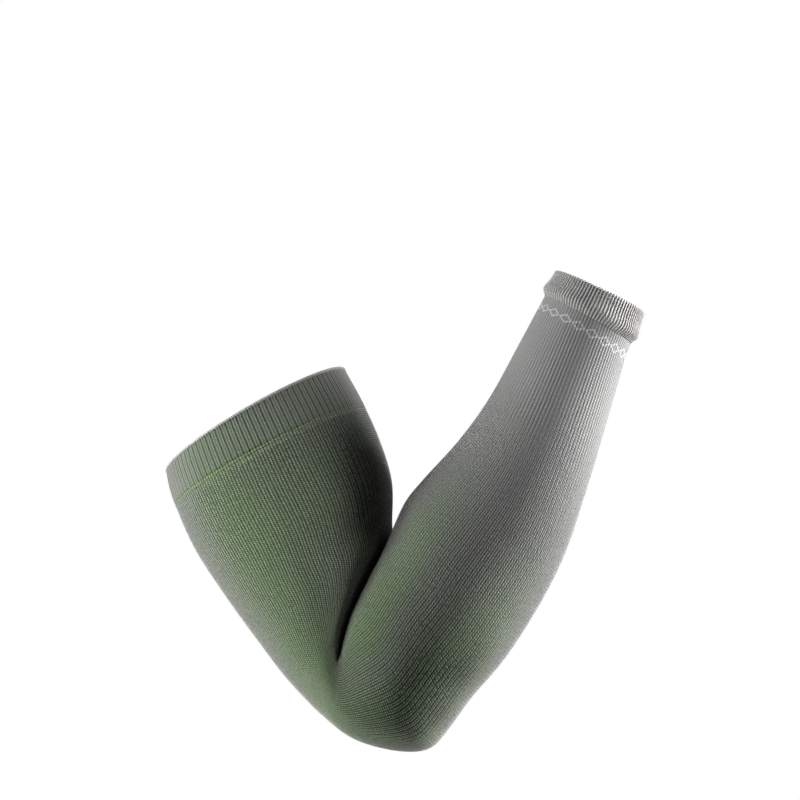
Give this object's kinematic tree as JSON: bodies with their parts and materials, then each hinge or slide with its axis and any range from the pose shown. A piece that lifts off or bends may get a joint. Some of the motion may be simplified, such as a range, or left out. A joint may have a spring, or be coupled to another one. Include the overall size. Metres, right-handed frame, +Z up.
{
  "type": "arm compression sleeve",
  "caption": "Ribbed knit compression sleeve in the form of a strongly bent arm, with a flush biceps cuff, a marker line and a turned wrist cuff.",
  "frame": {"origin": "centre of the elbow joint that the sleeve is worn on", "axes": "+X from the upper arm towards the forearm, +Y along the elbow's hinge axis, +Z up between the two limbs"},
  "size_m": [0.2528, 0.096, 0.25],
  "materials": {
    "body_knit": "fine ribbed compression knit, grey crests over green grooves, slight sheen",
    "cuff_knit": "ribbed elastic knit, green-grey",
    "marker_yarn": "one course of bright green yarn",
    "wrist_knit": "coarser light grey rib, turned double"
  },
  "bodies": {
    "root": {"sleeve_body": "body_knit", "upper_cuff": "cuff_knit", "marker_course": "marker_yarn", "wrist_cuff": "wrist_knit"}
  },
  "joints": []
}
